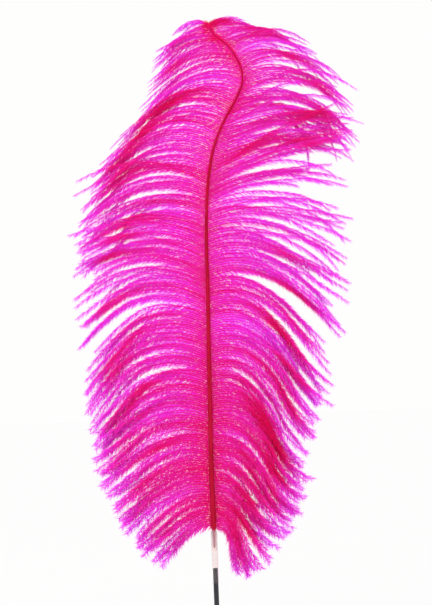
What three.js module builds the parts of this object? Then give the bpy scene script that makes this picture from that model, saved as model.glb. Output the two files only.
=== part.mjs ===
// A dyed ostrich plume on a push-fit rod. Millimetres, +Z up, the barbs spread in the XZ plane.
// The origin is the centre of the rod's foot. The plume's smooth back faces -Y, and its crown nods to +Y.
//
// The quill's trimmed nib stands in a clear grip, the grip in a clear sleeve, and the sleeve slips over
// the rod. The barbs grow from both edges of the quill. They lie in locks, and each lock is one solid.
import * as THREE from "three";

// ---- Driving dimensions ----
const ROD_DIAMETER = 6;
const ROD_LENGTH = 120;
const ROD_CHAMFER = 0.5;
const TOUCH_GAP = 0.3; // between pieces that touch
const SLEEVE_WALL = 0.45;
const SLEEVE_OVERLAP = 18; // how far the sleeve reaches down the rod
const SLEEVE_ABOVE_ROD = 44; // how far it reaches above the rod
const GRIP_LENGTH = 23;
const NIB_TIP_DIAMETER = 2.2;
const NIB_TOP_DIAMETER = 4;
const NIB_INSET = 3; // from the grip's lower end to the tip of the nib
const NIB_BARE = 5; // bare quill between the sleeve and the first barbs
const QUILL_DIAMETER = 6.6; // at the first barbs
const QUILL_END_DIAMETER = 0.8;
const QUILL_DEPTH_SHARE = 0.92; // the quill is a little flatter than it is wide
const VANE_HEIGHT = 604; // from the first barbs to the end of the quill
const CROOK = 56; // how far the crown of the quill swings sideways
const NOD = 60; // how far the crown leans back
const BARB_SCALE = 1; // all the barbs, longer or shorter
const BARB_DROOP_BACK = 20; // how far a barb's tip hangs behind its root
const LOCKS_PER_SIDE = 20;
const LOCK_THICKNESS = 1.6;
const LOCK_LIFT = 6; // neighbouring locks part by this much, to front and back
const LOCK_GAP = 0.9; // between locks along the quill
const FINGERS = 3; // pointed ends of a lock
const FINGER_NOTCH = 0.12; // the depth of the notches between them, as a share of the barbs' length
const TUFT_LENGTH = 14;
const TUFT_DIAMETER = 3;

// ---- Fineness ----
const ROUND_SIDES = 32;
const QUILL_SIDES = 12;
const BARB_STEPS = 8;
const LAST_ROW = 2 * FINGERS - 2; // a lock's rows of points, counted from 0
const QUILL_STEPS = LOCKS_PER_SIDE * LAST_ROW; // the quill bends where the rows meet it

// ---- Sizes that follow ----
const ROD_RADIUS = ROD_DIAMETER / 2;
const SLEEVE_BORE_RADIUS = ROD_RADIUS + TOUCH_GAP;
const SLEEVE_RADIUS = SLEEVE_BORE_RADIUS + SLEEVE_WALL;
const SLEEVE_TOP = ROD_LENGTH + SLEEVE_ABOVE_ROD;
const GRIP_RADIUS = SLEEVE_BORE_RADIUS - TOUCH_GAP;
const GRIP_BORE_RADIUS = NIB_TOP_DIAMETER / 2 + TOUCH_GAP;
const GRIP_BOTTOM = SLEEVE_TOP - GRIP_LENGTH;
const NIB_BOTTOM = GRIP_BOTTOM + NIB_INSET;
const VANE_BOTTOM = SLEEVE_TOP + NIB_BARE;

// ---- Materials ----
const finish = (color, roughness, metalness = 0) =>
  new THREE.MeshStandardMaterial({ color, roughness, metalness });
const blackLacquer = finish(0x2e2e33, 0.45);
const clearPlastic = finish(0xf2ece6, 0.15);
const dyedKeratin = finish(0xa81830, 0.5);
const dyedBarb = finish(0xe81fa0, 0.8);

// ---- The quill's line ----
// Each entry is a share of the vane's height and a share of the crook: straight for three fifths of the
// way, then out to one side, round the crown and back.
const CROOK_SHAPE = [
  [0, 0],
  [0.1, 0],
  [0.28, 0.03],
  [0.47, 0.07],
  [0.61, 0.1],
  [0.697, 0.19],
  [0.752, 0.32],
  [0.807, 0.57],
  [0.847, 0.83],
  [0.889, 1],
  [0.93, 0.91],
  [0.965, 0.66],
  [0.985, 0.42],
  [1, 0.32],
];
const NOD_START = 0.35; // share of the height where the quill starts to lean back

function nodAt(heightShare) {
  const along = Math.max(0, (heightShare - NOD_START) / (1 - NOD_START));
  return NOD * along ** 2;
}

const vaneLine = new THREE.CatmullRomCurve3(
  CROOK_SHAPE.map(
    ([height, crook]) =>
      new THREE.Vector3(CROOK * crook, nodAt(height), VANE_BOTTOM + VANE_HEIGHT * height),
  ),
);

function quillDiameter(share) {
  return THREE.MathUtils.lerp(QUILL_DIAMETER, QUILL_END_DIAMETER, share);
}

// ---- Barb shapes ----
// Each station: share of the vane's length, angle of the barb above the level at its root, the same at
// its tip, in degrees, its length, and how early it turns over. A barb leaves the quill rising, arches
// over and hangs.
const LEFT_STATIONS = [
  [0, 4, -64, 84, 1.6],
  [0.04, 12, -58, 108, 1.6],
  [0.085, 22, -48, 132, 1.6],
  [0.18, 27, -52, 158, 1.6],
  [0.364, 34, -50, 178, 1.6],
  [0.522, 28, -42, 174, 1.6],
  [0.69, 40, -36, 160, 1.6],
  [0.797, 38, -36, 146, 1.6],
  [0.857, 34, -40, 138, 1.6],
  [0.92, 16, -34, 108, 1.6],
  [0.977, 4, -33, 66, 1.6],
  [1, 2, -30, 40, 1.6],
];
const RIGHT_STATIONS = [
  [0, 24, -88, 76, 5],
  [0.04, 20, -82, 104, 4],
  [0.1, 18, -72, 132, 3],
  [0.17, 20, -68, 152, 2.5],
  [0.24, 23, -66, 166, 2.2],
  [0.33, 26, -63, 184, 2.2],
  [0.43, 20, -57, 184, 2],
  [0.52, 15, -48, 180, 1.6],
  [0.615, 14, -43, 188, 1.6],
  [0.68, 14, -38, 186, 1.6],
  [0.75, 17, -38, 176, 1.6],
  [0.82, 25, -44, 158, 1.6],
  [0.857, 34, -48, 150, 1.6],
  [0.91, 44, -50, 134, 1.6],
  [0.955, 40, -40, 102, 1.6],
  [1, 22, -14, 80, 1.6],
];

// The four numbers of a station, at any share of the vane's length.
function barbAt(stations, share) {
  const next = Math.max(1, stations.findIndex(([at]) => at >= share));
  const [low, high] = [stations[next - 1], stations[next]];
  const mix = (share - low[0]) / (high[0] - low[0]);
  return [1, 2, 3, 4].map((field) => THREE.MathUtils.lerp(low[field], high[field], mix));
}

// Points along one barb as {x, z, hang}, where hang is the share of its length squared.
function barbPoints(side, share, steps, reach = 1) {
  const stations = side < 0 ? LEFT_STATIONS : RIGHT_STATIONS;
  const [rootAngle, tipAngle, fullLength, bend] = barbAt(stations, share);
  const length = fullLength * BARB_SCALE;
  const root = vaneLine.getPointAt(share);
  const across = vaneLine.getTangentAt(share);
  const clear = quillDiameter(share) / 2 + TOUCH_GAP;
  // Out from the quill's edge, square to its line.
  const outward = new THREE.Vector2(across.z, -across.x).normalize().multiplyScalar(side * clear);
  let x = root.x + outward.x;
  let z = root.z + outward.y;
  const points = [{ x, z, y: root.y, hang: 0 }];
  const whole = 1 - Math.exp(-bend);
  for (let step = 1; step <= steps; step += 1) {
    const middle = (reach * (step - 0.5)) / steps;
    const turned = (1 - Math.exp(-bend * middle)) / whole;
    const angle = THREE.MathUtils.degToRad(THREE.MathUtils.lerp(rootAngle, tipAngle, turned));
    x += (side * Math.cos(angle) * length * reach) / steps;
    z += (Math.sin(angle) * length * reach) / steps;
    points.push({ x, z, y: root.y, hang: ((reach * step) / steps) ** 2 });
  }
  return points;
}

// ---- Solids ----
// A round piece turned on the Z axis from its profile of [radius, height] points.
function turned(profile) {
  const points = profile.map(([radius, height]) => new THREE.Vector2(radius, height));
  return new THREE.LatheGeometry(points, ROUND_SIDES).rotateX(Math.PI / 2);
}

// A mesh from its points' coordinates, three to a point, and its triangles.
function skinned(positions, triangles) {
  const geometry = new THREE.BufferGeometry();
  geometry.setAttribute("position", new THREE.Float32BufferAttribute(positions, 3));
  return geometry.setIndex(triangles.flat());
}

// A closed skin over rings of equal numbers of points, with a fan over each end.
function lofted(rings) {
  const sides = rings[0].length;
  const positions = rings.flat().flatMap((point) => point.toArray());
  const faces = [];
  for (let ring = 0; ring < rings.length - 1; ring += 1) {
    for (let side = 0; side < sides; side += 1) {
      const a = ring * sides + side;
      const b = ring * sides + ((side + 1) % sides);
      faces.push([a, b, b + sides], [a, b + sides, a + sides]);
    }
  }
  const last = (rings.length - 1) * sides;
  for (let side = 1; side < sides - 1; side += 1) {
    faces.push([0, side + 1, side], [last, last + side, last + side + 1]);
  }
  return skinned(positions, faces);
}

// One ring of the quill: an oval square to its line.
function quillRing(centre, along, diameter) {
  const wide = new THREE.Vector3(along.z, 0, -along.x).normalize();
  const deep = new THREE.Vector3().crossVectors(along, wide).normalize();
  return Array.from({ length: QUILL_SIDES }, (_, corner) => {
    const turn = (2 * Math.PI * corner) / QUILL_SIDES;
    return centre
      .clone()
      .addScaledVector(wide, (Math.cos(turn) * diameter) / 2)
      .addScaledVector(deep, (Math.sin(turn) * diameter * QUILL_DEPTH_SHARE) / 2);
  });
}

function rodGeometry() {
  return turned([
    [0, 0],
    [ROD_RADIUS - ROD_CHAMFER, 0],
    [ROD_RADIUS, ROD_CHAMFER],
    [ROD_RADIUS, ROD_LENGTH - ROD_CHAMFER],
    [ROD_RADIUS - ROD_CHAMFER, ROD_LENGTH],
    [0, ROD_LENGTH],
  ]);
}

// A tube with square ends.
function tubeGeometry(bore, radius, bottom, top) {
  return turned([
    [bore, bottom],
    [radius, bottom],
    [radius, top],
    [bore, top],
    [bore, bottom],
  ]);
}

function quillGeometry() {
  const up = new THREE.Vector3(0, 0, 1);
  const at = (height) => new THREE.Vector3(0, 0, height);
  const rings = [
    quillRing(at(NIB_BOTTOM), up, NIB_TIP_DIAMETER),
    quillRing(at(SLEEVE_TOP), up, NIB_TOP_DIAMETER),
  ];
  for (let step = 0; step <= QUILL_STEPS; step += 1) {
    const share = step / QUILL_STEPS;
    rings.push(
      quillRing(vaneLine.getPointAt(share), vaneLine.getTangentAt(share), quillDiameter(share)),
    );
  }
  return lofted(rings);
}

// A lock of barbs is a thin curved plate. Its rows are barbs, from the lowest to the highest, and every
// other one stops short, which leaves the lock with pointed ends.
function lockRows(side, index) {
  const gap = LOCK_GAP / vaneLine.getLength() / 2;
  const from = index / LOCKS_PER_SIDE + gap;
  const to = (index + 1) / LOCKS_PER_SIDE - gap;
  return Array.from({ length: LAST_ROW + 1 }, (_, row) => {
    const reach = row % 2 ? 1 - FINGER_NOTCH : 1;
    return barbPoints(side, THREE.MathUtils.lerp(from, to, row / LAST_ROW), BARB_STEPS, reach);
  });
}

function lockGeometry(side, index) {
  const rows = lockRows(side, index);
  const droop = BARB_DROOP_BACK + LOCK_LIFT * (index % 2 ? 1 : -1);
  const skins = [-1, 1].map((face) =>
    rows.flat().map(({ x, y, z, hang }) => [x, y + hang * droop + (face * LOCK_THICKNESS) / 2, z]),
  );
  const [across, along] = [rows.length, rows[0].length];
  const behind = across * along; // from a point of the front skin to the one behind it
  const at = (row, step) => row * along + step;
  const faces = [];
  const rim = [];
  for (let row = 0; row < across - 1; row += 1) {
    for (let step = 0; step < along - 1; step += 1) {
      const [a, b] = [at(row, step), at(row, step + 1)];
      const [c, d] = [at(row + 1, step + 1), at(row + 1, step)];
      faces.push([a, b, c], [a, c, d]);
      faces.push([a + behind, c + behind, b + behind], [a + behind, d + behind, c + behind]);
    }
    rim.push([at(row, along - 1), at(row + 1, along - 1)], [at(row + 1, 0), at(row, 0)]);
  }
  for (let step = 0; step < along - 1; step += 1) {
    rim.push([at(0, step), at(0, step + 1)], [at(across - 1, step + 1), at(across - 1, step)]);
  }
  for (const [a, b] of rim) faces.push([a, a + behind, b + behind], [a, b + behind, b]);
  // The left side is the right side's mirror image, so its faces are turned over.
  return skinned(skins.flat(2), side < 0 ? faces.map((face) => face.reverse()) : faces);
}

// The last few barbs, which carry on past the end of the quill as one small point.
function tuftGeometry() {
  const end = vaneLine.getPointAt(1);
  const along = vaneLine.getTangentAt(1);
  const widths = [QUILL_END_DIAMETER, TUFT_DIAMETER, TUFT_DIAMETER, QUILL_END_DIAMETER];
  const rings = widths.map((width, ring) => {
    const reach = TOUCH_GAP + (TUFT_LENGTH * ring) / (widths.length - 1);
    return quillRing(end.clone().addScaledVector(along, reach), along, width);
  });
  return lofted(rings);
}

// ---- Assembly ----
const plume = new THREE.Group();

function place(name, geometry, material) {
  const mesh = new THREE.Mesh(geometry, material);
  mesh.name = name;
  plume.add(mesh);
}

place("stem_rod", rodGeometry(), blackLacquer);
place(
  "clear_sleeve",
  tubeGeometry(SLEEVE_BORE_RADIUS, SLEEVE_RADIUS, ROD_LENGTH - SLEEVE_OVERLAP, SLEEVE_TOP),
  clearPlastic,
);
place(
  "quill_grip",
  tubeGeometry(GRIP_BORE_RADIUS, GRIP_RADIUS, GRIP_BOTTOM, SLEEVE_TOP),
  clearPlastic,
);
place("quill", quillGeometry(), dyedKeratin);
for (const [sideName, side] of [
  ["left", -1],
  ["right", 1],
]) {
  for (let index = 0; index < LOCKS_PER_SIDE; index += 1) {
    const number = String(index + 1).padStart(2, "0");
    place(`barbs_${sideName}_${number}`, lockGeometry(side, index), dyedBarb);
  }
}
place("barbs_tip", tuftGeometry(), dyedBarb);

export default plume;
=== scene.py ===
# %% [markdown]
# # A dyed ostrich plume on its stem
#
# An ostrich plume has one quill, and from each edge of it grow a couple of hundred barbs. Every barb
# carries thousands of limp filaments, the barbules, and they are what makes the plume look like a
# cloud. This lesson builds the quill, the barbs and the barbules one after the other, and then the
# clear sleeve and the black rod that the plume stands on.
#
# Everything is in metres. The rod's foot is at the origin, +Z runs up the quill, the barbs spread along
# X, and the plume's smooth back faces -Y.

# %% Load the frame that every piece has to fit
import math

import bpy
import numpy as np
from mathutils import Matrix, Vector


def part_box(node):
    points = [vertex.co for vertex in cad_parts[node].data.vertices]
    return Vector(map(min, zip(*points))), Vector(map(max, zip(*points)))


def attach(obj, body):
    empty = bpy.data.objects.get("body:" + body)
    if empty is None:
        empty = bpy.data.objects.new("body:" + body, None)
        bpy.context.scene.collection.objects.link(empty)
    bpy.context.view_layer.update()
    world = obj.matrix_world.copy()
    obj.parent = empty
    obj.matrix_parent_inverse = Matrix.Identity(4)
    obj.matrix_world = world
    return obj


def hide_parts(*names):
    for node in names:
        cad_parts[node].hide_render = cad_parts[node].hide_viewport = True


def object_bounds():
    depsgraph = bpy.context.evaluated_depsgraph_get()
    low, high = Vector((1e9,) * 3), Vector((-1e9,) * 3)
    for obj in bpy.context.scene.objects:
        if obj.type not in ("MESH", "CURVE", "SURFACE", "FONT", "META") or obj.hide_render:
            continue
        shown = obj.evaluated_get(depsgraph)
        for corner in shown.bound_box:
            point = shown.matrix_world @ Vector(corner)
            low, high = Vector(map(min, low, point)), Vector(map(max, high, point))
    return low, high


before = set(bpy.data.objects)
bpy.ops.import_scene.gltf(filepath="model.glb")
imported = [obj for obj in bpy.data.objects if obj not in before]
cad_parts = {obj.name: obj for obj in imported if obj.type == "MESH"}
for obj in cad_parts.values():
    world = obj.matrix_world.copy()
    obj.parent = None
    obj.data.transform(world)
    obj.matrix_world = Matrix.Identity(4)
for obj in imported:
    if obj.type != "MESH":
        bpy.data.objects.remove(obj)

MM = 0.001
cad_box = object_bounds()
print("the frame's box:", [[round(v, 4) for v in corner] for corner in cad_box])

# %% [markdown]
# ## The line of the quill
#
# The quill stands straight for three fifths of its height. Then its own weight and that of its barbs
# bend it: it swings out to one side, comes round the crown and nods backwards. Everything on the plume
# is placed along this line, so it comes first. It is a smooth curve through a few listed shares of
# the crook, stretched to the height that the frame's quill has.

# %% Heights and widths measured on the frame
rod_low, rod_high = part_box("stem_rod")
sleeve_low, sleeve_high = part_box("clear_sleeve")
grip_low, grip_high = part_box("quill_grip")
quill_low, quill_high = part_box("quill")

ROD_RADIUS = rod_high[0]
SLEEVE_RADIUS = sleeve_high[0]
GRIP_RADIUS = grip_high[0]
NIB_BARE = 5 * MM  # bare quill between the sleeve and the first barbs
VANE_BOTTOM = sleeve_high[2] + NIB_BARE
VANE_TOP = quill_high[2]
QUILL_WIDTH = 6.6 * MM  # at the first barbs
QUILL_END_WIDTH = 0.8 * MM
CROOK = 56 * MM
NOD = quill_high[1]
print(f"vane from {VANE_BOTTOM:.3f} to {VANE_TOP:.3f} m, nod {NOD:.3f} m")

# %% The curve itself
CROOK_SHAPE = [  # share of the height, share of the crook
    (0, 0), (0.1, 0), (0.28, 0.03), (0.47, 0.07), (0.61, 0.1), (0.697, 0.19), (0.752, 0.32),
    (0.807, 0.57), (0.847, 0.83), (0.889, 1), (0.93, 0.91), (0.965, 0.66), (0.985, 0.42), (1, 0.32),
]  # fmt: skip
NOD_START = 0.35


def eased(known, values, wanted):
    """A smooth curve through values known at a few places, read at the wanted places."""
    known, values, wanted = (np.asarray(v, float) for v in (known, values, wanted))
    slopes = np.gradient(values, known)
    low = np.clip(np.searchsorted(known, wanted) - 1, 0, len(known) - 2)
    width = known[low + 1] - known[low]
    t = (wanted - known[low]) / width
    return (
        (2 * t**3 - 3 * t**2 + 1) * values[low]
        + (t**3 - 2 * t**2 + t) * width * slopes[low]
        + (3 * t**2 - 2 * t**3) * values[low + 1]
        + (t**3 - t**2) * width * slopes[low + 1]
    )


heights = np.linspace(0, 1, 1200)
quill_line = np.stack(
    [
        CROOK * eased(*zip(*CROOK_SHAPE), heights),
        NOD * np.clip((heights - NOD_START) / (1 - NOD_START), 0, None) ** 2,
        VANE_BOTTOM + (VANE_TOP - VANE_BOTTOM) * heights,
    ],
    axis=1,
)
steps = np.linalg.norm(np.diff(quill_line, axis=0), axis=1)
line_shares = np.concatenate([[0], np.cumsum(steps)]) / steps.sum()
line_tangents = np.gradient(quill_line, axis=0)
line_tangents /= np.linalg.norm(line_tangents, axis=1)[:, None]


def read_line(table, share):
    """A row of the quill's line, or of its tangents, at any share of the vane's length."""
    return np.stack([np.interp(share, line_shares, column) for column in table.T], axis=-1)


def quill_width(share):
    return QUILL_WIDTH + (QUILL_END_WIDTH - QUILL_WIDTH) * np.asarray(share)


print(f"the quill is {steps.sum() * 1000:.0f} mm long above the first barbs")

# %% [markdown]
# ## One barb
#
# A barb leaves the quill rising, arches over and hangs, and on the lower right its end turns out again.
# Drawing four hundred barbs by hand would take days. So the barb's angle above the level is set at four
# places, at its root, a third and two thirds of the way along and at its tip, for a few stations up the
# quill. Everything between them is worked out, and the small differences are left to chance. The two
# sides have stations of their own, because the barbs on the right hang more, and one tress there rises.

# %% How the barbs hang along the quill
# share of the vane, then the angle at the root, at a third, at two thirds and at the tip, length in mm
STATIONS = {
    "left": [
        (0, 4, -36, -50, -54, 84), (0.04, 10, -28, -42, -50, 108), (0.085, 20, -20, -36, -46, 128),
        (0.13, 26, -14, -36, -34, 142), (0.2, 28, -8, -38, -36, 156), (0.28, 32, -4, -44, -58, 172),
        (0.36, 34, 0, -42, -56, 178), (0.42, 38, 6, -34, -46, 174), (0.47, 36, 16, -10, -34, 168),
        (0.53, 34, 10, -16, -30, 168), (0.6, 34, 2, -26, -40, 170), (0.69, 36, 0, -32, -40, 168),
        (0.78, 40, -3, -40, -44, 164), (0.84, 42, -4, -38, -46, 156), (0.88, 32, -8, -36, -46, 142),
        (0.92, 24, -6, -34, -42, 122), (0.96, 14, -8, -32, -38, 98), (1, 4, -12, -30, -34, 62),
    ],
    "right": [
        (0, 6, -76, -90, -84, 82), (0.02, 8, -70, -78, -66, 92), (0.045, 10, -60, -62, -44, 104),
        (0.08, 14, -52, -60, -24, 116), (0.12, 20, -48, -64, -28, 132), (0.17, 24, -46, -70, -34, 148),
        (0.24, 26, -42, -72, -40, 164), (0.32, 28, -38, -68, -46, 178), (0.42, 26, -30, -60, -52, 186),
        (0.48, 26, -20, -44, -54, 188), (0.54, 24, -14, -32, -44, 178), (0.6, 26, -4, -20, -38, 180),
        (0.61, 32, 17, 5, -12, 176), (0.66, 26, 17, 4, -8, 176), (0.7, 16, 22, 4, -10, 178),
        (0.74, 16, 15, -12, -38, 178), (0.79, 20, 5, -24, -52, 172), (0.84, 28, -2, -32, -60, 154),
        (0.88, 44, -2, -30, -58, 134), (0.92, 50, 8, -20, -46, 112), (0.96, 40, 10, -14, -40, 98),
        (1, 34, 14, -2, -12, 62),
    ],
}  # fmt: skip
SIDES = {"left": -1, "right": 1}
BARB_STEPS = 18
DROOP_BACK = 20 * MM  # how far a barb's tip hangs behind its root
ROOT_PAST = 2.5 * MM  # a barb is rooted behind the quill, so far past its middle
ROOT_BEHIND = 1.2 * MM


def barb_points(side, share, turn=0.0, lift=0.0, flick=0.0, longer=1.0, back=0.0):
    """The points of one barb. It may turn as a whole, lift at its root or flick at its tip, in degrees."""
    stations = np.array(STATIONS[side], float)
    *angles, length = (np.interp(share, stations[:, 0], column) for column in stations.T[1:])
    middles = (np.arange(BARB_STEPS) + 0.5) / BARB_STEPS
    angle = np.interp(middles, [0, 1 / 3, 2 / 3, 1], angles)
    angle += turn * np.minimum(1, 3 * middles) + lift * (1 - middles) ** 2 + flick * middles**2
    step = length * MM * longer / BARB_STEPS
    root, ahead = read_line(quill_line, share), read_line(line_tangents, share)
    outward = np.array([ahead[2], 0, -ahead[0]]) / math.hypot(ahead[0], ahead[2])
    root = root - SIDES[side] * outward * ROOT_PAST + np.array([0, ROOT_BEHIND, 0])
    points = np.zeros((BARB_STEPS + 1, 3))
    points[1:, 0] = np.cumsum(SIDES[side] * np.cos(np.radians(angle))) * step
    points[1:, 2] = np.cumsum(np.sin(np.radians(angle))) * step
    points[:, 1] = np.linspace(0, 1, BARB_STEPS + 1) ** 2 * (DROOP_BACK + back)
    return root + points


print("a barb half way up the left side ends at", barb_points("left", 0.5)[-1].round(3))

# %% [markdown]
# ## Locks of barbs
#
# Barbs cling together. A few neighbours gather into a clump whose tips almost meet, and the light shows
# between one clump and the next. The frame divides each side into twenty locks, so each lock becomes
# one piece: a few clumps, each with its own turn and depth, and barbs that drift towards the middle of
# their clump. Low on the plume their tips splay again, and high up they stay together. Some barbs go
# astray, and where the plume is ruffled, high on the right above all, they cross.
# The barbules are longest in the middle of a barb. Low on the plume the tips are fluffy too, and high
# up they run out bare.

# %% Barbs gathered into clumps
LOCKS_PER_SIDE = 20
BARBS_PER_LOCK = 12
RUFFLED = {  # share of the vane, how wildly the barbs there stray, in degrees
    "left": [(0, 3), (0.1, 2.5), (0.4, 2.5), (0.48, 5), (0.6, 4.5), (0.7, 2.5), (1, 2)],
    "right": [(0, 4), (0.1, 3), (0.45, 3), (0.55, 5), (0.65, 6), (0.75, 9), (0.85, 6), (0.95, 3), (1, 2)],
}
STRAYS = 0.2  # the share of the barbs that leave their clump
GATHER = (0.0, 0.42)  # how much of the way to the middle of its clump a barb goes
SPLAY = [(0, 0.3), (0.45, 0.3), (0.7, 0.8), (1, 1)]  # share of the vane, how much of that its tip keeps
FLUFF = [  # share of the vane, then the barbules' length in mm at the root, half way and at the tip
    (0, 8, 10, 7), (0.15, 8, 10, 6.5), (0.3, 7.5, 9.5, 6), (0.55, 7, 9, 5), (0.8, 6.5, 8.5, 3.5),
    (0.92, 6.5, 8, 3), (1, 7, 8, 3),
]  # fmt: skip
SPREAD = [  # share of the vane, then the angle in degrees between barbule and barb at the same places
    (0, 64, 38, 55), (0.3, 62, 34, 50), (0.55, 58, 29, 34), (0.8, 50, 22, 17), (1, 45, 22, 15),
]  # fmt: skip
EVEN_STRETCH = (0, 0.12, 0.8, 1)  # between its middle two places a barb's fluff stays the same
along = np.linspace(0, 1, BARB_STEPS + 1)


def clump_sizes(chance):
    """Splits a lock's barbs into clumps of two to five."""
    sizes = []
    while sum(sizes) < BARBS_PER_LOCK:
        sizes.append(int(chance.integers(2, 6)))
    sizes[-1] -= sum(sizes) - BARBS_PER_LOCK
    return sizes


def along_barbs(table, shares):
    """A table's values at the root, half way and at the tip, read at every point of these barbs."""
    places, *columns = zip(*table)
    values = zip(*(np.interp(shares, places, column) for column in columns))
    return np.array([np.interp(along, EVEN_STRETCH, (root, half, half, tip)) for root, half, tip in values])


def lock_lines(side, lock, chance):
    """The points of a lock's barbs, their shares of the vane, and a tint for each barb."""
    shares = (lock + (np.arange(BARBS_PER_LOCK) + 0.5) / BARBS_PER_LOCK) / LOCKS_PER_SIDE
    lines, tints = [], []
    for members in np.split(shares, np.cumsum(clump_sizes(chance))[:-1]):
        if not len(members):
            continue
        wild = np.interp(members.mean(), *zip(*RUFFLED[side]))
        clump_turn, clump_back, clump_tint = chance.normal(0, (0.25 * wild, 5 * MM, 0.6))
        clump = []
        for share in members:
            astray = 2.2 if chance.uniform() < STRAYS else 0.45
            turn = clump_turn + chance.normal(0, astray * wild)
            flick = chance.normal(0, 2.2 * wild)
            longer = 1.05 - min(0.4, chance.exponential(0.1))
            back = clump_back + chance.normal(0, 3) * MM
            points = barb_points(side, share, turn, 0.0, flick, longer, back)
            wave = chance.normal(0, 1.4, 2) * MM * along[:, None]
            swing = np.sin(2 * math.pi * (along * chance.uniform(0.8, 1.6) + chance.uniform()))
            points[:, [1, 2]] += wave * swing[:, None]
            clump.append(points)
        splay = np.interp(members.mean(), *zip(*SPLAY))
        pull = np.interp(along, [0, 0.15, 0.6, 1], [0, 0.15, 1, splay])[:, None]
        middle = np.mean(clump, axis=0)
        lines += [points + chance.uniform(*GATHER) * pull * (middle - points) for points in clump]
        tints += list(clump_tint + chance.normal(0, 0.5, len(clump)))
    return np.array(lines), shares, np.array(tints)


locks = {}
for side in SIDES:
    for lock in range(LOCKS_PER_SIDE):
        chance = np.random.default_rng(100 * (side == "right") + lock)
        locks[side, lock] = lock_lines(side, lock, chance)
print("forty locks of", BARBS_PER_LOCK, "barbs of", BARB_STEPS + 1, "points")

# %% The tuft past the quill's end
TUFT_BARBS = 14


def tuft_lines(chance):
    """Short barbs from the quill's end, which rise and then arch to one side or the other."""
    lines = []
    for number in range(TUFT_BARBS):
        side = "left" if number % 3 == 0 else "right"
        lift = chance.uniform(5, 60)
        lines.append(barb_points(side, 1.0, 0.0, lift, chance.normal(0, 8), chance.uniform(0.4, 0.9), 0.0))
    return np.array(lines), np.ones(TUFT_BARBS), chance.normal(-1, 0.5, TUFT_BARBS)


locks["tip", 0] = tuft_lines(np.random.default_rng(40))
print("the tuft reaches", max(line[:, 2].max() for line in locks["tip", 0][0]).round(3), "m")

# %% [markdown]
# ## How deep the fluff lies
#
# Fluff looks deeper in colour where more of it lies on top of itself, because the light passes more
# filaments. That is painted shade here, so the colour needs to know how many layers of barbules there
# are at each place. The plume is nearly flat. Its face is divided into small cells, the barbules that
# grow in each cell are added up, and the sums are spread a little, because a barbule reaches into the
# cells beside it.

# %% Layers of barbules over the plume's face
SPACING = 0.055 * MM  # from one barbule to the next along a barb
SLIVER_HALF_WIDTH = 0.021  # of a barbule at its root, as a share of its length
SEEN_SHARE = 0.38  # of a barbule's face, on average, after its shortest ones and its tilt
CELL = 1.5 * MM
REACH = 2  # cells
low_corner = np.array(cad_box[0])[[0, 2]] - 0.05
cells = np.ceil((np.array(cad_box[1])[[0, 2]] + 0.05 - low_corner) / CELL).astype(int)
layers_map = np.zeros(cells)


def finer(table, times=12):
    """A table over a barb's points, read at more places along it."""
    places = np.linspace(0, BARB_STEPS, BARB_STEPS * times)
    return np.stack([np.interp(places, np.arange(BARB_STEPS + 1), column) for column in table.T], axis=-1)


def cells_of(points):
    return tuple(np.clip(((points[..., [0, 2]] - low_corner) / CELL).astype(int), 0, cells - 1).T)


for lines, shares, _ in locks.values():
    for line, length in zip(lines, along_barbs(FLUFF, shares) * MM):
        places, length = finer(line), finer(length[:, None])[:, 0]
        run = np.linalg.norm(np.diff(places, axis=0), axis=1).mean()
        faces = run / SPACING * SLIVER_HALF_WIDTH * length**2 * SEEN_SHARE
        np.add.at(layers_map, cells_of(places), faces / CELL**2)
spread = np.exp(-0.5 * (np.arange(-3 * REACH, 3 * REACH + 1) / REACH) ** 2)
for axis in (0, 1):
    blurred = (np.convolve(row, spread / spread.sum(), "same") for row in np.moveaxis(layers_map, axis, -1))
    layers_map = np.moveaxis(np.array(list(blurred)), -1, axis)
covered = layers_map[layers_map > 0.5]
print(f"the fluff is {np.median(covered):.1f} layers deep, and up to {covered.max():.1f}")

# %% [markdown]
# ## From lines to fluff
#
# A barb is a thin rib with barbules on both sides. The ribs could be bevelled curves and the barbules a
# hair system, but neither leaves a plain mesh behind. Geometry Nodes can make both from the same lines:
# a three-sided tube swept along each line for the rib, and one thin sliver set again and again along it
# for the barbules. At this size nobody can see that a barbule is a single triangle, and there are more
# than a million of them, so it has to be this plain.

# %% The sliver that stands for one barbule
sliver_mesh = bpy.data.meshes.new("barbule")
sliver_mesh.from_pydata([(0, -SLIVER_HALF_WIDTH, 0), (0, SLIVER_HALF_WIDTH, 0), (1, 0, 0)], [], [(0, 1, 2)])
for name, values in {"out": (0, 0, 1), "beside": (-1, 1, 0)}.items():
    sliver_mesh.attributes.new(name, "FLOAT", "POINT").data.foreach_set("value", values)
sliver = bpy.data.objects.new("barbule", sliver_mesh)
print("a barbule is", len(sliver_mesh.polygons), "face")

# %% A short way to build node trees
def add(tree, kind, inputs=None, **settings):
    """Adds a node with its settings, and fills or links its inputs by number, name or identifier."""
    node = tree.nodes.new(kind)
    for key, value in settings.items():
        setattr(node, key, value)
    for key, value in (inputs or {}).items():
        live = [s for s in node.inputs if s.enabled]
        named = [s for s in live if key in (s.name, s.identifier)]
        socket = live[key] if isinstance(key, int) else named[0]
        if isinstance(value, bpy.types.NodeSocket):
            tree.links.new(value, socket)
        else:
            socket.default_value = value
    return node


def output(node, name=None):
    """The node's output of that name, or its first one in use."""
    return next(s for s in node.outputs if s.enabled and name in (None, s.name))


def maths(tree, operation, *values):
    return output(add(tree, "ShaderNodeMath", dict(enumerate(values)), operation=operation))


def vectors(tree, operation, *values):
    return output(add(tree, "ShaderNodeVectorMath", dict(enumerate(values)), operation=operation))


def scaled(tree, vector, by):
    return output(add(tree, "ShaderNodeVectorMath", {0: vector, "Scale": by}, operation="SCALE"))


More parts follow.
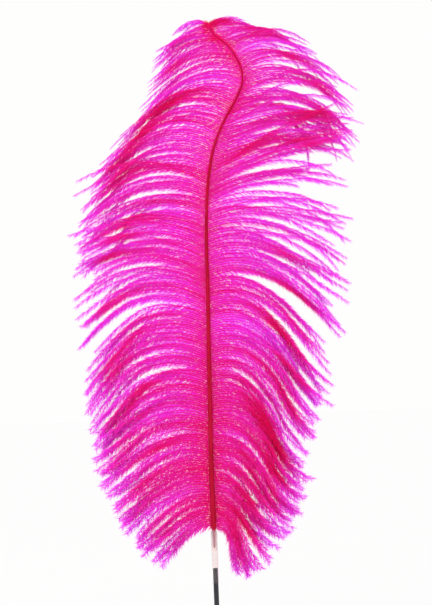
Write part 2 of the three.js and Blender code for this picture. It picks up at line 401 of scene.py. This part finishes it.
def attribute(tree, name):
    return output(add(tree, "GeometryNodeInputNamedAttribute", {"Name": name}, data_type="FLOAT"))


def between(tree, low, high, seed, step, together=1):
    """A random number from the seed, the step and the point's index, shared by so many points in a row."""
    index = maths(tree, "DIVIDE", output(add(tree, "GeometryNodeInputIndex")), float(together))
    inputs = {"Min": low, "Max": high, "Seed": maths(tree, "ADD", seed, float(step))}
    inputs["ID"] = maths(tree, "FLOOR", index)
    return output(add(tree, "FunctionNodeRandomValue", inputs, data_type="FLOAT"))


def stored(tree, geometry, name, value, kind="FLOAT", domain="POINT"):
    inputs = {"Geometry": geometry, "Name": name, "Value": value}
    return output(add(tree, "GeometryNodeStoreNamedAttribute", inputs, data_type=kind, domain=domain))


def with_map(tree, geometry, u, v, rows):
    """Lays the mesh out on a map: along the barb one way, and a row for each barb the other way."""
    u = maths(tree, "MULTIPLY_ADD", u, 0.96, 0.02)
    v = maths(tree, "DIVIDE", maths(tree, "ADD", v, attribute(tree, "row")), rows)
    place = output(add(tree, "ShaderNodeCombineXYZ", {"X": u, "Y": v}))
    return stored(tree, geometry, "OFBake", place, "FLOAT2", "CORNER")


# %% The tree that grows ribs and barbules on a lock's lines
TREE_INPUTS = (
    ("Geometry", "NodeSocketGeometry", None),
    ("Sliver", "NodeSocketObject", None),
    ("Finish", "NodeSocketMaterial", None),
    ("Rib Width", "NodeSocketFloat", 1.8 * MM),
    ("Spacing", "NodeSocketFloat", SPACING),
    ("Sag", "NodeSocketFloat", 0.3),
    ("Rows", "NodeSocketFloat", float(BARBS_PER_LOCK)),
    ("Seed", "NodeSocketInt", 0),
)
BARBULES_TOGETHER = 6  # neighbours that cling and point the same way
RIB_DEPTH = -5.5  # a rib's place on the scale that runs from 0 at a barbule's root to 1 at its end


def ribs_on(tree, curves, given):
    """A three-sided tube along each line, which thins fast near its root and slowly after."""
    taper = maths(tree, "MULTIPLY_ADD", attribute(tree, "along"), 12.0, 2.0)
    half = maths(tree, "DIVIDE", given["Rib Width"], taper)
    ring = output(add(tree, "GeometryNodeCurvePrimitiveCircle", {"Resolution": 3, "Radius": 1.0}), "Curve")
    ring = stored(tree, ring, "round", output(add(tree, "GeometryNodeSplineParameter"), "Factor"))
    inputs = {"Curve": curves, "Profile Curve": ring, "Scale": half, "Fill Caps": True}
    rib = output(add(tree, "GeometryNodeCurveToMesh", inputs))
    across = maths(tree, "MULTIPLY_ADD", attribute(tree, "round"), 0.1, 0.02)
    rib = stored(tree, rib, "out", RIB_DEPTH)
    return with_map(tree, rib, attribute(tree, "along"), across, given["Rows"])


def barbule_aim(tree, given):
    """Where a barbule points: to a side of the barb, back, on towards its tip and a little down."""
    tangent = output(add(tree, "GeometryNodeInputTangent"))
    beside = vectors(tree, "NORMALIZE", vectors(tree, "CROSS_PRODUCT", tangent, (0.0, 1.0, 0.0)))
    side = maths(tree, "SIGN", between(tree, -1.0, 1.0, given["Seed"], 0, BARBULES_TOGETHER))
    lean = between(tree, 0.0, 1.0, given["Seed"], 1, BARBULES_TOGETHER)
    shared = between(tree, 0.5, 1.4, given["Seed"], 2, BARBULES_TOGETHER)
    own = between(tree, -0.15, 0.15, given["Seed"], 5)
    angle = maths(tree, "MULTIPLY", attribute(tree, "spread"), maths(tree, "ADD", shared, own))
    sideways = scaled(tree, beside, maths(tree, "MULTIPLY", side, maths(tree, "COSINE", lean)))
    depth = scaled(tree, (0.0, 1.0, 0.0), maths(tree, "SINE", lean))
    spread = scaled(tree, vectors(tree, "ADD", sideways, depth), maths(tree, "SINE", angle))
    forward = scaled(tree, tangent, maths(tree, "COSINE", angle))
    down = scaled(tree, (0.0, 0.0, -1.0), given["Sag"])
    return vectors(tree, "ADD", vectors(tree, "ADD", spread, forward), down)


def barbules_on(tree, curves, given):
    """The sliver, set along each line, aimed, turned broad side to the front and sized by the fluff."""
    inputs = {"Curve": curves, "Length": given["Spacing"]}
    points = output(add(tree, "GeometryNodeResampleCurve", inputs, mode="LENGTH"))
    inputs = {"Vector": barbule_aim(tree, given)}
    facing = output(add(tree, "FunctionNodeAlignRotationToVector", inputs, axis="X"))
    inputs = {"Rotation": facing, "Vector": (0.0, 0.0, 1.0)}
    facing = output(add(tree, "FunctionNodeAlignRotationToVector", inputs, axis="Y", pivot_axis="X"))
    roll = output(add(tree, "ShaderNodeCombineXYZ", {"X": between(tree, -0.9, 0.9, given["Seed"], 3)}))
    roll = output(add(tree, "FunctionNodeEulerToRotation", {"Euler": roll}))
    inputs = {"Rotation": facing, "Rotate By": roll}
    facing = output(add(tree, "FunctionNodeRotateRotation", inputs, rotation_space="LOCAL"))
    size = maths(tree, "MULTIPLY", attribute(tree, "fluff"), between(tree, 0.45, 1.2, given["Seed"], 4))
    blade = output(add(tree, "GeometryNodeObjectInfo", {"Object": given["Sliver"]}), "Geometry")
    inputs = {"Points": points, "Instance": blade, "Rotation": facing, "Scale": size}
    grown = output(add(tree, "GeometryNodeInstanceOnPoints", inputs))
    grown = output(add(tree, "GeometryNodeRealizeInstances", {"Geometry": grown}))
    u = maths(tree, "MULTIPLY_ADD", attribute(tree, "beside"), 0.01, attribute(tree, "along"))
    v = maths(tree, "MULTIPLY_ADD", attribute(tree, "out"), 0.8, 0.14)
    return with_map(tree, grown, u, v, given["Rows"])


def barb_tree():
    tree = bpy.data.node_groups.new("grow_barbs", "GeometryNodeTree")
    for name, kind, value in TREE_INPUTS:
        socket = tree.interface.new_socket(name, in_out="INPUT", socket_type=kind)
        if value is not None:
            socket.default_value = value
    tree.interface.new_socket("Geometry", in_out="OUTPUT", socket_type="NodeSocketGeometry")
    given = tree.nodes.new("NodeGroupInput").outputs
    curves = output(add(tree, "GeometryNodeMeshToCurve", {"Mesh": given["Geometry"]}))
    both = tree.nodes.new("GeometryNodeJoinGeometry")
    for mesh in (barbules_on(tree, curves, given), ribs_on(tree, curves, given)):
        tree.links.new(mesh, both.inputs[0])
    whole = output(add(tree, "GeometryNodeRealizeInstances", {"Geometry": output(both)}))
    whole = output(add(tree, "GeometryNodeSetMaterial", {"Geometry": whole, "Material": given["Finish"]}))
    tree.links.new(whole, tree.nodes.new("NodeGroupOutput").inputs["Geometry"])
    return tree


grow_barbs = barb_tree()
print("the tree has", len(grow_barbs.nodes), "nodes")

# %% [markdown]
# ## The dye and its painted shade
#
# The dye is one hot pink, but it doesn't look like one. A single filament lets most of the red and blue
# light through, so loose fluff reads as a light violet pink. Where filaments lie on each other the
# light passes several of them, loses its blue first, and turns to a deep crimson pink. Here that is
# painted shade: the colour is made deeper with the number of layers. The ribs are thicker than the
# barbules, so they are deeper still. Each barb takes the dye a little differently, and low on the plume,
# where it hung in the bath longest, the dye is deepest.

# %% Material helpers
def new_material(name, **sockets):
    """A material whose Principled shader has these plain values."""
    material = bpy.data.materials.new(name)
    material.use_nodes = True
    shader = material.node_tree.nodes["Principled BSDF"]
    for key, value in sockets.items():
        shader.inputs[key.replace("_", " ")].default_value = value
    return material, material.node_tree, shader


def ramp(tree, factor, *stops):
    """A colour ramp through (place, colour) stops."""
    node = add(tree, "ShaderNodeValToRGB", {"Fac": factor})
    for _ in stops[2:]:
        node.color_ramp.elements.new(0.5)
    for element, (place, colour) in zip(node.color_ramp.elements, stops):
        element.position, element.color = place, (*colour, 1)
    return node.outputs["Color"]


def spot(tree):
    return add(tree, "ShaderNodeTexCoord").outputs["Object"]


def height_of(tree):
    return output(add(tree, "ShaderNodeSeparateXYZ", {"Vector": spot(tree)}), "Z")


def noise(tree, vector, scale, detail=3.0):
    inputs = {"Vector": vector, "Scale": scale, "Detail": detail}
    return add(tree, "ShaderNodeTexNoise", inputs).outputs["Fac"]


# %% Dyed barbs, with painted shade
PAINTED_SHADE_PER_LAYER = 0.076  # each of these says how much deeper the colour gets; this one is painted shade for each layer of fluff
SINGLE_LAYER = 0.02
TO_A_BARBULES_END = -0.09
PER_TINT = 0.08
AT_THE_QUILL = 0.06
LOW_ON_THE_PLUME = 0.16
barb_dye_and_painted_shade, tree, shader = new_material("dyed_barbs", Roughness=0.8, Specular_IOR_Level=0.08)


def value_on(tree, name):
    return add(tree, "ShaderNodeAttribute", attribute_name=name).outputs["Fac"]


# painted shade: the colour deepens with each layer of fluff lying over this place, standing in for light
# lost in the stack
deep = maths(tree, "MULTIPLY_ADD", value_on(tree, "layers"), PAINTED_SHADE_PER_LAYER, SINGLE_LAYER)
deep = maths(tree, "MULTIPLY_ADD", value_on(tree, "out"), TO_A_BARBULES_END, deep)
deep = maths(tree, "MULTIPLY_ADD", value_on(tree, "tint"), PER_TINT, deep)
near_quill = maths(tree, "MULTIPLY_ADD", value_on(tree, "along"), -6.0, 1.0)
near_quill = maths(tree, "MAXIMUM", near_quill, 0.0)
deep = maths(tree, "MULTIPLY_ADD", near_quill, AT_THE_QUILL, deep)
inputs = {"Value": height_of(tree), "From Min": 0.4, "From Max": 0.22, "To Max": LOW_ON_THE_PLUME}
low_down = output(add(tree, "ShaderNodeMapRange", inputs))
inner = maths(tree, "MULTIPLY_ADD", value_on(tree, "along"), -1.4, 1.45)  # the tips keep almost none of it
deep = maths(tree, "MULTIPLY_ADD", low_down, inner, deep)
dye = ramp(
    tree, deep, (0.0, (0.93, 0.06, 1.0)), (0.3, (0.92, 0.035, 0.8)),
    (0.6, (0.89, 0.014, 0.38)), (0.8, (0.85, 0.006, 0.2)), (1.0, (0.76, 0.002, 0.1)),
)  # fmt: skip
tree.links.new(dye, shader.inputs["Base Color"])
print("dye ready")

# %% [markdown]
# ## The plume's pieces
#
# Each lock of lines goes through the tree once and comes back as a plain mesh. It stands for the lock's
# plain solid in the frame, and moves with the plume.

# %% Growing a piece from its lines
def set_input(modifier, name, value):
    """Sets a modifier's input by its socket's identifier."""
    sockets = modifier.node_group.interface.items_tree
    modifier[next(s.identifier for s in sockets if s.name == name and s.in_out == "INPUT")] = value


def wire(name, lines, columns):
    """An object of bare lines, with these numbers on their points."""
    count, points = lines.shape[:2]
    numbers = np.arange(count * points).reshape(count, points)
    pairs = np.stack([numbers[:, :-1], numbers[:, 1:]], axis=-1).reshape(-1, 2)
    mesh = bpy.data.meshes.new(name)
    mesh.from_pydata(lines.reshape(-1, 3).tolist(), pairs.tolist(), [])
    for key, values in columns.items():
        values = np.broadcast_to(values, (count, points)).astype(np.float32).ravel()
        mesh.attributes.new(key, "FLOAT", "POINT").data.foreach_set("value", values)
    obj = bpy.data.objects.new(name, mesh)
    bpy.context.scene.collection.objects.link(obj)
    return obj


def grow(name, lines, shares, tints, seed):
    """Runs the tree on the lines and leaves a plain mesh."""
    rows = np.arange(len(lines))[:, None]
    layers = layers_map[cells_of(lines)].T
    lengths, spread = along_barbs(FLUFF, shares) * MM, np.radians(along_barbs(SPREAD, shares))
    columns = {"along": along, "row": rows, "layers": layers, "tint": tints[:, None]}
    columns |= {"fluff": lengths, "spread": spread}
    obj = wire(name, lines, columns)
    modifier = obj.modifiers.new("grow", "NODES")
    modifier.node_group = grow_barbs
    inputs = {"Sliver": sliver, "Finish": barb_dye_and_painted_shade, "Rows": float(len(lines)), "Seed": seed}
    for key, value in inputs.items():
        set_input(modifier, key, value)
    depsgraph = bpy.context.evaluated_depsgraph_get()
    mesh = bpy.data.meshes.new_from_object(obj.evaluated_get(depsgraph), depsgraph=depsgraph)
    obj.modifiers.clear()
    obj.data = mesh
    for spent in ("row", "fluff", "spread", "round", "beside"):
        mesh.attributes.remove(mesh.attributes[spent])
    mesh.materials.clear()
    mesh.materials.append(barb_dye_and_painted_shade)
    mesh.polygons.foreach_set("material_index", np.zeros(len(mesh.polygons), np.int32))
    return obj


def stands_for(obj, node, body):
    """This piece stands for a node of the frame and moves with a body."""
    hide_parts(node)
    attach(obj, body)


# %% Forty locks and the tuft
faces = 0
for number, ((side, lock), lines) in enumerate(locks.items()):
    piece = grow("tip_tuft" if side == "tip" else f"{side}_lock_{lock + 1:02d}", *lines, number)
    node = "barbs_tip" if side == "tip" else f"barbs_{side}_{lock + 1:02d}"
    stands_for(piece, node, "plume")
    faces += len(piece.data.polygons)
print("forty locks and a tuft with", faces, "faces")

# %% [markdown]
# ## The quill
#
# The quill is one horny shaft, round on the back and grooved on the front, which thins from the size of
# a pencil to a thread. At its lower end the feather worker has trimmed it to a nib. The nib is painted
# pale, a painted light for the light that reaches it through the clear sleeve. It could be a bevelled
# curve, but the groove and the nib need a section that changes, so rings are laid along the line and
# skinned.

# %% A skin over rings
def skin(name, rings, closed=True):
    """A mesh over equal rings of points, with its own map: round the ring one way, along it the other."""
    count, sides = rings.shape[:2]
    mesh = bpy.data.meshes.new(name)
    numbers = np.arange(count * sides).reshape(count, sides)
    after = np.roll(numbers, -1, axis=1)
    quads = np.stack([numbers[:-1], after[:-1], after[1:], numbers[1:]], axis=-1).reshape(-1, 4).tolist()
    caps = [numbers[0, ::-1].tolist(), numbers[-1].tolist()] if closed else []
    mesh.from_pydata(rings.reshape(-1, 3).tolist(), [], quads + caps)
    layer = mesh.uv_layers.new(name="OFBake")
    round_ring, along_rings = np.meshgrid(np.arange(sides + 1) / sides, np.linspace(0, 1, count))
    corners = np.stack([round_ring, along_rings], axis=-1)
    of_quads = np.stack([corners[:-1, :-1], corners[:-1, 1:], corners[1:, 1:], corners[1:, :-1]], axis=2)
    of_caps = [np.zeros((sides, 2)) + (0.5, end) + 0.004 * ring_of(sides) for end in (0.005, 0.995)]
    flat = np.concatenate([of_quads.reshape(-1, 2), *(of_caps if closed else [])])
    layer.uv.foreach_set("vector", flat.astype(np.float32).ravel())
    mesh.shade_smooth()
    obj = bpy.data.objects.new(name, mesh)
    bpy.context.scene.collection.objects.link(obj)
    return obj


def ring_of(sides):
    turn = np.arange(sides) / sides * 2 * math.pi
    return np.stack([np.cos(turn), np.sin(turn)], axis=1)


# %% The quill's rings
QUILL_SIDES = 28
QUILL_RINGS = 260
GROOVE = 0.16  # as a share of the width
NIB_TOP_WIDTH = 4 * MM
NIB_TIP_WIDTH = 2.2 * MM


def quill_ring(centre, tangent, width, groove):
    wide = np.array([tangent[2], 0, -tangent[0]]) / math.hypot(tangent[0], tangent[2])
    deep = np.cross(tangent, wide)
    round_ring = ring_of(QUILL_SIDES)
    turn = np.arctan2(round_ring[:, 1], round_ring[:, 0])
    dip = groove * np.exp(-(((turn - math.pi / 2) / 0.4) ** 2))
    x, y = round_ring[:, 0] * width / 2, (round_ring[:, 1] * 0.92 / 2 - dip) * width
    return centre + x[:, None] * wide + y[:, None] * deep


up = np.array([0, 0, 1.0])
rings = []
for share in np.linspace(0, 1, 14):  # the nib, cut to a blunt end
    height = quill_low[2] + (sleeve_high[2] - quill_low[2]) * share
    blunt = math.sqrt(1 - (1 - min(1, share * 9)) ** 2 * 0.8)
    width = (NIB_TIP_WIDTH + (NIB_TOP_WIDTH - NIB_TIP_WIDTH) * share) * blunt
    rings.append(quill_ring(up * height, up, width, 0.0))
for share in np.linspace(0, 1, 6)[1:-1]:  # from the sleeve to the first barbs
    height = sleeve_high[2] + NIB_BARE * share
    rings.append(quill_ring(up * height, up, NIB_TOP_WIDTH + (QUILL_WIDTH - NIB_TOP_WIDTH) * share, 0.0))
for share in np.linspace(0, 1, QUILL_RINGS):
    groove = GROOVE * min(1, share * 12)
    centre, tangent = read_line(quill_line, share), read_line(line_tangents, share)
    rings.append(quill_ring(centre, tangent, float(quill_width(share)), groove))
quill = skin("plume_quill", np.array(rings))
stands_for(quill, "quill", "plume")
print("the quill has", len(quill.data.polygons), "faces")

# %% [markdown]
# ## Streaks and clouds
#
# Horn grows in long fibres, and lacquer is scuffed along the rod each time it slides into its sleeve. Both
# show fine streaks lengthwise over soft, cloudy patches. It could be drawn for each, but one node group
# with named inputs gives both, and each finish sets its own scales.

# %% The group of nodes that horn and lacquer share
def streaks_group():
    group = bpy.data.node_groups.new("streaks_and_clouds", "ShaderNodeTree")
    inputs = {"Vector": "NodeSocketVector", "Squeeze": "NodeSocketFloat"}
    inputs |= {"Streak Scale": "NodeSocketFloat", "Cloud Scale": "NodeSocketFloat"}
    for name, kind in inputs.items():
        group.interface.new_socket(name, in_out="INPUT", socket_type=kind)
    for name in ("Streaks", "Tone"):
        group.interface.new_socket(name, in_out="OUTPUT", socket_type="NodeSocketFloat")
    given = group.nodes.new("NodeGroupInput").outputs
    squeeze = output(add(group, "ShaderNodeCombineXYZ", {"X": 1.0, "Y": 1.0, "Z": given["Squeeze"]}))
    streaks = noise(group, vectors(group, "MULTIPLY", given["Vector"], squeeze), given["Streak Scale"], 4.0)
    clouds = noise(group, given["Vector"], given["Cloud Scale"])
    tone = maths(group, "MULTIPLY_ADD", streaks, 0.6, maths(group, "MULTIPLY", clouds, 0.4))
    results = group.nodes.new("NodeGroupOutput").inputs
    group.links.new(streaks, results["Streaks"])
    group.links.new(tone, results["Tone"])
    return group


streaks_and_clouds = streaks_group()


def streaked(tree, squeeze, streak_scale, cloud_scale):
    """The group in a material: its streaks alone, and streaks and clouds together, both from 0 to 1."""
    inputs = {"Vector": spot(tree), "Squeeze": squeeze}
    inputs |= {"Streak Scale": streak_scale, "Cloud Scale": cloud_scale}
    node = add(tree, "ShaderNodeGroup", inputs, node_tree=streaks_and_clouds)
    return node.outputs["Streaks"], node.outputs["Tone"]


print("the group has", len(streaks_and_clouds.nodes), "nodes")

# %% Dyed horn
# painted light: the nib's pale colour stands in for light reaching it through the clear sleeve
NIB_PAINTED_LIGHT = (0.9, 0.4, 0.56, 1)
horn, tree, shader = new_material("dyed_quill", Roughness=0.6, Specular_IOR_Level=0.05)
streaks, tone = streaked(tree, 0.06, 900.0, 30.0)
dye = ramp(
    tree, tone, (0.3, (0.22, 0.002, 0.012)), (0.5, (0.38, 0.003, 0.025)), (0.72, (0.5, 0.006, 0.05))
)  # fmt: skip
rim, fade = sleeve_high[2], 2 * MM  # the nib, under the sleeve's rim, is painted pale: painted light
inputs = {"Value": height_of(tree), "From Min": rim + fade, "From Max": rim - fade}
nib_painted_light_mask = output(add(tree, "ShaderNodeMapRange", inputs))
inputs = {"Factor": nib_painted_light_mask, "A": dye, "B": NIB_PAINTED_LIGHT}
tree.links.new(output(add(tree, "ShaderNodeMix", inputs, data_type="RGBA")), shader.inputs["Base Color"])
bump = add(tree, "ShaderNodeBump", {"Height": streaks, "Strength": 0.25, "Distance": 0.0002})
tree.links.new(output(bump), shader.inputs["Normal"])
quill.data.materials.append(horn)
print("horn ready")

# %% [markdown]
# ## The rod, the sleeve and the grip
#
# The plume is sold on a stem. A thin black rod runs up into a clear plastic sleeve, and the quill's nib
# stands in a clear bush in the sleeve's upper end. All three are turned shapes: a profile that goes
# once round the axis. The frame's own solids have flat facets and sharp rims, so finer ones with
# rounded rims stand for them.

# %% Turning a profile
TURNED_SIDES = 64


def turned(name, profile, closed=True):
    """Turns a profile of (radius, height) points round the Z axis."""
    round_ring = ring_of(TURNED_SIDES)
    levels = [np.full(TURNED_SIDES, height) for _, height in profile]
    rings = [np.column_stack([round_ring * p[0], level]) for p, level in zip(profile, levels)]
    return skin(name, np.array(rings), closed)


def rounded(corners, radius, steps=4):
    """A closed profile whose corners are rounded off."""
    points = []
    for before, corner, after in zip(corners[-1:] + corners[:-1], corners, corners[1:] + corners[:1]):
        corner = Vector(corner)
        arrive, leave = (corner + (Vector(p) - corner).normalized() * radius for p in (before, after))
        for step in range(steps + 1):
            t = step / steps
            points.append(arrive * (1 - t) ** 2 + corner * 2 * t * (1 - t) + leave * t**2)
    return points


def tube(name, bore, radius, low, high, rim):
    """A tube with rounded rims, as one closed skin."""
    profile = rounded([(bore, low), (bore, high), (radius, high), (radius, low)], rim)
    profile = [(p.x, p.y) for p in profile]
    return turned(name, profile[::-1] + profile[-1:], closed=False)


# %% Rod
CHAMFER = 0.5 * MM
soft = CHAMFER * 0.3  # how far the chamfer's own edges are rounded
foot, top = rod_low[2], rod_high[2]
lower = [
    (0.5 * ROD_RADIUS, foot), (ROD_RADIUS - CHAMFER - soft, foot),
    (ROD_RADIUS - CHAMFER, foot + soft * 0.3), (ROD_RADIUS - soft * 0.3, foot + CHAMFER),
    (ROD_RADIUS, foot + CHAMFER + soft),
]  # fmt: skip
middles = [(ROD_RADIUS, foot + (top - foot) * share) for share in np.linspace(0.05, 0.95, 19)]
upper = [(radius, foot + top - height) for radius, height in lower[::-1]]
rod = turned("black_rod", lower + middles + upper)
stands_for(rod, "stem_rod", "stem")

# %% Sleeve and grip
SLEEVE_WALL = 0.45 * MM
NIB_CLEARANCE = 0.3 * MM
RIM_ROUNDING = 0.12 * MM
bore = SLEEVE_RADIUS - SLEEVE_WALL
sleeve = tube("sleeve", bore, SLEEVE_RADIUS, sleeve_low[2], sleeve_high[2], RIM_ROUNDING)
stands_for(sleeve, "clear_sleeve", "sleeve")
bore = NIB_TOP_WIDTH / 2 + NIB_CLEARANCE
grip = tube("nib_grip", bore, GRIP_RADIUS, grip_low[2], grip_high[2], RIM_ROUNDING)
stands_for(grip, "quill_grip", "plume")
print("rod, sleeve and grip:", [len(o.data.polygons) for o in (rod, sleeve, grip)], "faces")

# %% Lacquer and clear plastic
lacquer, tree, shader = new_material("stem_lacquer", Roughness=0.4, Specular_IOR_Level=0.2)
scuffs, tone = streaked(tree, 0.1, 700.0, 120.0)
black = ramp(
    tree, tone, (0.35, (0.018, 0.018, 0.023)), (0.6, (0.034, 0.032, 0.04)), (0.75, (0.08, 0.073, 0.084))
)  # fmt: skip
tree.links.new(black, shader.inputs["Base Color"])
tree.links.new(maths(tree, "MULTIPLY_ADD", scuffs, 0.35, 0.22), shader.inputs["Roughness"])
rod.data.materials.append(lacquer)

clear, tree, shader = new_material("clear_plastic", Roughness=0.12, IOR=1.46, Transmission_Weight=1.0)
haze = noise(tree, spot(tree), 260.0)
tinge = ramp(tree, haze, (0.3, (0.95, 0.86, 0.85)), (0.7, (0.98, 0.92, 0.92)))
tree.links.new(tinge, shader.inputs["Base Color"])
tree.links.new(maths(tree, "MULTIPLY_ADD", haze, 0.2, 0.02), shader.inputs["Roughness"])
for piece in (sleeve, grip):
    piece.data.materials.append(clear)
print("lacquer and plastic ready")

# %% [markdown]
# ## The studio
#
# The plume stands before plain white, in light that comes from everywhere, so its own colour does all
# the work. A big soft lamp from the upper left gives the locks a little shape.

# %% Floor, light and camera
FLOOR_SIZE = 12.0
floor = bpy.data.objects.new("floor", bpy.data.meshes.new("floor"))
half = FLOOR_SIZE / 2
corners = [(-half, -half, 0), (half, -half, 0), (half, half, 0), (-half, half, 0)]
floor.data.from_pydata(corners, [], [(0, 1, 2, 3)])
bpy.context.scene.collection.objects.link(floor)
white = (0.99, 0.99, 0.985)
grey = (0.2, 0.2, 0.2, 1)  # most of the paper's brightness is its own glow, so it never shows a horizon
paper, tree, shader = new_material("paper", Roughness=1.0, Base_Color=grey, Specular_IOR_Level=0.0)
shader.inputs["Emission Color"].default_value = (*white, 1)
shader.inputs["Emission Strength"].default_value = 0.714
floor.data.materials.append(paper)

world = bpy.data.worlds.new("studio")
world.use_nodes = True
tree = world.node_tree
seen = tree.nodes["Background"]
seen.inputs["Color"].default_value = (*white, 1)
lit = add(tree, "ShaderNodeBackground", {"Color": (1, 1, 1, 1), "Strength": 1.36})
seen_first = add(tree, "ShaderNodeLightPath").outputs["Is Camera Ray"]
mixed = add(tree, "ShaderNodeMixShader", {"Fac": seen_first, 1: output(lit), 2: output(seen)})
tree.links.new(output(mixed), tree.nodes["World Output"].inputs["Surface"])
bpy.context.scene.world = world

lamp = bpy.data.objects.new("soft_box", bpy.data.lights.new("soft_box", "AREA"))
lamp.data.size, lamp.data.energy = 1.6, 14
lamp.location = (-1.2, -1.6, 1.7)
lamp.rotation_euler = (Vector((0, 0, 0.45)) - lamp.location).to_track_quat("-Z", "Y").to_euler()
bpy.context.scene.collection.objects.link(lamp)

VIEW_HEIGHT = 0.726  # what the picture takes in at the plume
VIEW_CENTRE = Vector((0.0132, 0.01, 0.437))
LEAN = math.radians(2.24)  # the camera is turned a little, so the plume leans
camera = bpy.data.objects.new("camera", bpy.data.cameras.new("camera"))
camera.data.lens, camera.data.sensor_width = 135, 36
away = VIEW_HEIGHT * camera.data.lens / camera.data.sensor_width
camera.location = VIEW_CENTRE - Vector((0, away, 0))
camera.rotation_euler = (math.pi / 2, LEAN, 0)
bpy.context.scene.collection.objects.link(camera)
bpy.context.scene.camera = camera
bpy.context.scene.view_settings.view_transform = "Standard"
print(f"the camera stands {away:.2f} m away")
